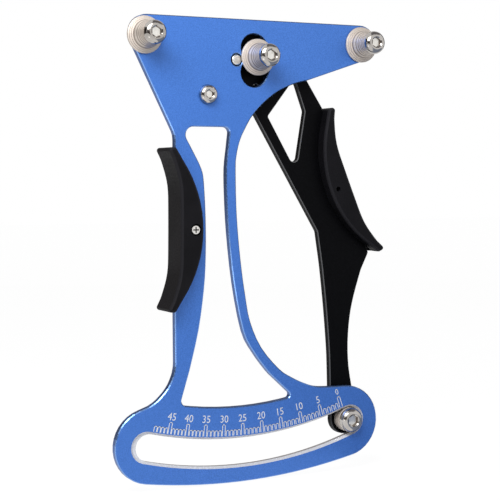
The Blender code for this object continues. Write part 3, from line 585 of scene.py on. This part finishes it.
def shown(name, mesh):
    """Object of a mesh, linked to the scene."""
    obj = bpy.data.objects.new(name, mesh)
    bpy.context.scene.collection.objects.link(obj)
    return obj


def smooth(points, steps):
    """Points on a smooth line through the given ones."""
    ends = [points[0], *points, points[-1]]
    line = []
    for a, b, c, d in zip(ends, ends[1:], ends[2:], ends[3:]):
        for step in range(steps):
            t = step / steps
            line.append(tuple(
                ((2 * q) + (r - p) * t + (2 * p - 5 * q + 4 * r - s) * t ** 2
                 + (3 * q - p - 3 * r + s) * t ** 3) / 2
                for p, q, r, s in zip(a, b, c, d)
            ))
    return line + [points[-1]]


def hexagon(a):
    """Share of a hexagon's corner radius at an angle."""
    return math.cos(math.pi / 6) / math.cos(a % (math.pi / 3) - math.pi / 6)


def turned(node, body, profile, looks, seat, socket=0):
    """Piece turned round a CAD node's axis, in its place.

    The profile is radius and height above the seat, in millimetres. Its first points, as many as the
    socket has, lie on a hexagon, and the faces between them take the later looks. A profile that starts
    off the axis is a ring.
    """
    low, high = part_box(node)
    centre = (low + high) / 2
    count = len(profile)
    work = bmesh.new()
    rows = []
    for turn in range(TURNS):
        a = 2 * math.pi * turn / TURNS
        row = []
        for k, (r, h) in enumerate(profile):
            reach = r * (hexagon(a) if k < socket else 1.0) * MM
            x, z = centre.x + reach * math.sin(a), centre.z + reach * math.cos(a)
            row.append(work.verts.new((x, seat - h * MM, z)))
        rows.append(row)
    spans = list(zip(range(count), range(1, count)))
    if profile[0][0] > 0:
        spans.append((count - 1, 0))
    for row, after in zip(rows, rows[1:] + rows[:1]):
        for k, n in spans:
            face = work.faces.new((row[k], row[n], after[n], after[k]))
            face.smooth = True
            face.material_index = n if n < socket else 0
    bmesh.ops.remove_doubles(work, verts=work.verts, dist=MERGE)
    bmesh.ops.recalc_face_normals(work, faces=work.faces)
    mesh = bpy.data.meshes.new(node + "_turned")
    work.to_mesh(mesh)
    work.free()
    mesh.set_sharp_from_angle(angle=SHARP)
    for look in looks:
        mesh.materials.append(look)
    obj = shown(mesh.name, mesh)
    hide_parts(node)
    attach(obj, body)


def post_sleeve(node, body, boss):
    """Turned sleeve of a post, with rings cut in its flange."""
    low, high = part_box(node)
    profile = [*SLEEVE_TIP, *smooth(SLEEVE_CONE, CONE_STEPS), *SLEEVE_RINGS, *boss]
    profile.append((SLEEVE_BORE_R, profile[-1][1]))
    turned(node, body, profile, [turned_steel(node + "_look", (low + high) / 2)], FACE_Y)


def button_screw(node, body, head_r, head_h, key_r, shank):
    """Button-head screw with its key socket: its head ends where the CAD one does, and so does its tip."""
    low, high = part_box(node)
    seat = low.y + head_h * MM
    end = (seat - high.y) / MM
    profile = [
        (0.0, head_h * KEY_MIDDLE), (key_r * KEY_FOOT, head_h * KEY_FLOOR), (key_r, head_h * KEY_LEAD),
        (head_r * KEY_RIM, head_h),
    ]
    for step in range(CURVE_STEPS + 1):
        a = math.pi / 2 * step / CURVE_STEPS
        share = TOP_SHARE + (1 - TOP_SHARE) * math.sin(a)
        profile.append((share * head_r, (CURVE_FOOT + (1 - CURVE_FOOT) * math.cos(a)) * head_h))
    profile += [(share * head_r, height * head_h) for share, height in RIM]
    profile += [(shank, 0.0), (shank, end + SHANK_TIP), (shank - SHANK_TIP, end), (0.0, end)]
    turned(node, body, profile, [LOOKS["polished_steel"], *SOCKET], seat, KEY_POINTS)


def pointer_washer():
    """Washer under the pointer's screw, with rounded edges, and the look of its sleeve."""
    low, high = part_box("pointer_washer")
    steel = turned_steel("pointer_look", (low + high) / 2)
    thick = (high.y - low.y) / MM
    profile = [(WASHER_BORE_R, thick)]
    profile += [(WASHER_R - inset, thick - drop) for inset, drop in WASHER_EDGE]
    profile += [(WASHER_R, 0.0), (WASHER_BORE_R, 0.0)]
    turned("pointer_washer", "arm", profile, [steel], high.y)
    NODES["pointer_sleeve"].material_slots[0].material = steel


def torsion_spring():
    """Copy of the CAD spring in its place, with edges sharp over an angle. It does not move with the arm,
    though the real spring winds up as the arm turns, its front leg going with the arm and its rear leg
    staying.
    """
    mesh = NODES["torsion_spring"].data.copy()
    mesh.name = "torsion_spring_wound"
    mesh.set_sharp_from_angle(angle=WIRE_SHARP)
    obj = shown(mesh.name, mesh)
    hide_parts("torsion_spring")
    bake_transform(obj)


for node, row in SLEEVES.items():
    post_sleeve(node, *row)
pointer_washer()
for node, row in SCREWS.items():
    button_screw(node, *row)
torsion_spring()


def along(reach, degrees):
    """Point on the frame's face, in degrees from straight down towards +X."""
    a = math.radians(degrees)
    return Vector((PIVOT_X + reach * math.sin(a), PIVOT_Z - reach * math.cos(a)))


def stroke(work, start, end):
    """Flat printed stroke from one point to another, standing just off the frame's face."""
    way = (end - start).normalized() * STROKE / 2
    side = Vector((-way.y, way.x))
    ring = [start - way - side, end + way - side, end + way + side, start - way + side]
    front = [work.verts.new((p.x, FACE_Y - PRINT_T, p.y)) for p in ring]
    back = [work.verts.new((p.x, FACE_Y - PRINT_BACK, p.y)) for p in ring]
    work.faces.new(front)
    work.faces.new(list(reversed(back)))
    for index in range(4):
        after = (index + 1) % 4
        work.faces.new((front[index], back[index], back[after], front[after]))


def mark(work, degrees, top):
    """One mark: an upright outline, open at its foot."""
    lean = math.degrees(MARK_HALF / MARK_FOOT_R)
    left_foot, left_top = along(MARK_FOOT_R, degrees - lean), along(top, degrees - lean)
    right_foot, right_top = along(MARK_FOOT_R, degrees + lean), along(top, degrees + lean)
    stroke(work, left_foot, left_top)
    stroke(work, right_foot, right_top)
    stroke(work, left_top, right_top)


def printed(name, mesh):
    """Put a printed mesh on the frame."""
    obj = shown(name, mesh)
    obj.data.materials.clear()
    obj.data.materials.append(PRINT)
    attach(obj, "frame")


def scale_marks():
    """All marks: long ones at the numbers, short ones at the units between them and past the end."""
    work = bmesh.new()
    values = sorted(SCALE, reverse=True)
    for value in values:
        mark(work, SCALE[value], MAJOR_TOP_R)
    for high, low in zip(values, values[1:]):
        for unit in range(1, UNITS):
            share = unit / UNITS
            mark(work, SCALE[high] * (1 - share) + SCALE[low] * share, MINOR_TOP_R)
    last, before = values[:2]
    step = (SCALE[before] - SCALE[last]) / UNITS
    for unit in range(1, UNITS_PAST_END + 1):
        mark(work, SCALE[last] - unit * step, MINOR_TOP_R)
    bmesh.ops.recalc_face_normals(work, faces=work.faces)
    mesh = bpy.data.meshes.new("scale_marks")
    work.to_mesh(mesh)
    work.free()
    printed("scale_marks", mesh)


def scale_number(value):
    """One printed number, standing along its radius."""
    text = bpy.data.curves.new("number", "FONT")
    text.body = str(value)
    text.size = NUMBER_H / DIGIT_SHARE * (1.0 if value else ZERO_SHARE)
    text.align_x = "CENTER"
    text.align_y = "CENTER"
    text.extrude = (PRINT_T - PRINT_BACK) / 2
    text.resolution_u = CURVE_POINTS
    source = shown("number", text)
    bpy.context.view_layer.update()
    mesh = bpy.data.meshes.new_from_object(source.evaluated_get(bpy.context.evaluated_depsgraph_get()))
    bpy.data.objects.remove(source)
    centre = along(NUMBER_R, SCALE[value])
    place = Matrix.Translation((centre.x, FACE_Y - (PRINT_T + PRINT_BACK) / 2, centre.y))
    lean = Matrix.Rotation(-math.radians(SCALE[value]), 4, "Y")
    upright = Matrix.Rotation(math.pi / 2, 4, "X")
    narrow = Matrix.Diagonal((NUMBER_NARROW, 1.0, 1.0, 1.0))
    mesh.transform(place @ lean @ upright @ narrow)
    printed(f"scale_number_{value:02d}", mesh)


scale_marks()
for value in SCALE:
    scale_number(value)


def direction(azimuth, elevation):
    """Way out from the part, in degrees round from the front towards +X, and up."""
    a, e = math.radians(azimuth), math.radians(elevation)
    return Vector((math.sin(a) * math.cos(e), -math.cos(a) * math.cos(e), math.sin(e)))


def camera():
    roll = math.radians(CAMERA_ROLL)
    back = direction(CAMERA_AZIMUTH, CAMERA_ELEVATION)
    right = Vector((0.0, 0.0, 1.0)).cross(back).normalized()
    up = back.cross(right)
    turned_right = right * math.cos(roll) + up * math.sin(roll)
    turned_up = up * math.cos(roll) - right * math.sin(roll)
    data = bpy.data.cameras.new("camera")
    data.sensor_width = SENSOR
    data.lens = LENS
    data.clip_start = CLIP_START
    obj = shown("camera", data)
    turn = Matrix((turned_right, turned_up, back)).transposed().to_4x4()
    obj.matrix_world = Matrix.Translation(CAMERA_AIM + back * CAMERA_DISTANCE) @ turn
    bpy.context.scene.camera = obj


def lamp():
    """Soft lamp in front of the part, above and to the left of it."""
    data = bpy.data.lights.new("key", "AREA")
    data.shape = "RECTANGLE"
    data.size, data.size_y = LAMP_SIZE
    data.energy = LAMP_POWER
    obj = shown("key", data)
    obj.location = CENTRE + LAMP_PLACE
    obj.rotation_euler = (LAMP_AIM - LAMP_PLACE).to_track_quat("-Z", "Y").to_euler()


def white_to_camera(tree, shader_output, target, share=1.0):
    """Show a share of plain white to the camera and in reflections, and the surface itself otherwise.

    The white is still to be linked to the mix that this returns.
    """
    path = tree.nodes.new("ShaderNodeLightPath")
    seen = path.outputs["Is Camera Ray"]
    for name in ("Is Glossy Ray", "Is Transmission Ray"):
        both = tree.nodes.new("ShaderNodeMath")
        both.operation = "MAXIMUM"
        tree.links.new(seen, both.inputs[0])
        tree.links.new(path.outputs[name], both.inputs[1])
        seen = both.outputs[0]
    scaled = tree.nodes.new("ShaderNodeMath")
    scaled.operation = "MULTIPLY"
    scaled.inputs[1].default_value = share
    tree.links.new(seen, scaled.inputs[0])
    mix = tree.nodes.new("ShaderNodeMixShader")
    tree.links.new(scaled.outputs[0], mix.inputs[0])
    tree.links.new(shader_output, mix.inputs[1])
    tree.links.new(mix.outputs[0], target)
    return mix


def sheet_mesh(name, half_width, half_height, mat):
    """Flat rectangle about the origin."""
    w, h = half_width, half_height
    mesh = bpy.data.meshes.new(name)
    mesh.from_pydata([(-w, -h, 0.0), (w, -h, 0.0), (w, h, 0.0), (-w, h, 0.0)], [], [(0, 1, 2, 3)])
    mesh.materials.append(mat)
    return mesh


def node_material(name):
    """New material, its node tree and the socket that its surface goes to."""
    mat = bpy.data.materials.new(name)
    mat.use_nodes = True
    return mat, mat.node_tree, mat.node_tree.nodes["Material Output"].inputs["Surface"]


def floor():
    """Pale floor that shows as white and keeps the part's shadow."""
    mat, tree, target = node_material("stage_white")
    principled = tree.nodes["Principled BSDF"]
    principled.inputs["Base Color"].default_value = (*FLOOR_TONE, 1.0)
    principled.inputs["Roughness"].default_value = FLOOR_ROUGHNESS
    glow = tree.nodes.new("ShaderNodeEmission")
    glow.inputs["Strength"].default_value = GLOW
    mix = white_to_camera(tree, principled.outputs[0], target, FLOOR_WHITE)
    tree.links.new(glow.outputs[0], mix.inputs[2])
    obj = shown("floor", sheet_mesh("floor", FLOOR_HALF, FLOOR_HALF, mat))
    obj.location.z = cad_box[0].z - FLOOR_GAP


def card(name, azimuth, elevation, distance, width, height, tone):
    """Card of an even tone that only reflections see."""
    way = direction(azimuth, elevation)
    mat, tree, target = node_material(name)
    glow = tree.nodes.new("ShaderNodeEmission")
    glow.inputs["Color"].default_value = (*tone, 1.0)
    tree.links.new(glow.outputs[0], target)
    obj = shown(name, sheet_mesh(name, width / 2, height / 2, mat))
    if name not in FLAT_CARDS:
        obj.rotation_euler = way.to_track_quat("Z", "Y").to_euler()
    obj.location = CENTRE + way * distance
    obj.visible_camera = False
    obj.visible_diffuse = False
    obj.visible_shadow = False


def world():
    """Soft white light all round, which shows as white."""
    studio = bpy.data.worlds.new("studio")
    studio.use_nodes = True
    tree = studio.node_tree
    soft = tree.nodes["Background"]
    soft.inputs["Color"].default_value = (*WHITE, 1.0)
    soft.inputs["Strength"].default_value = WORLD_STRENGTH
    white = tree.nodes.new("ShaderNodeBackground")
    white.inputs["Color"].default_value = (*WHITE, 1.0)
    mix = white_to_camera(tree, soft.outputs[0], tree.nodes["World Output"].inputs["Surface"])
    tree.links.new(white.outputs[0], mix.inputs[2])
    bpy.context.scene.world = studio


camera()
floor()
world()
for name, row in CARDS.items():
    card(name, *row)
lamp()
bpy.context.scene.view_settings.view_transform = "Standard"
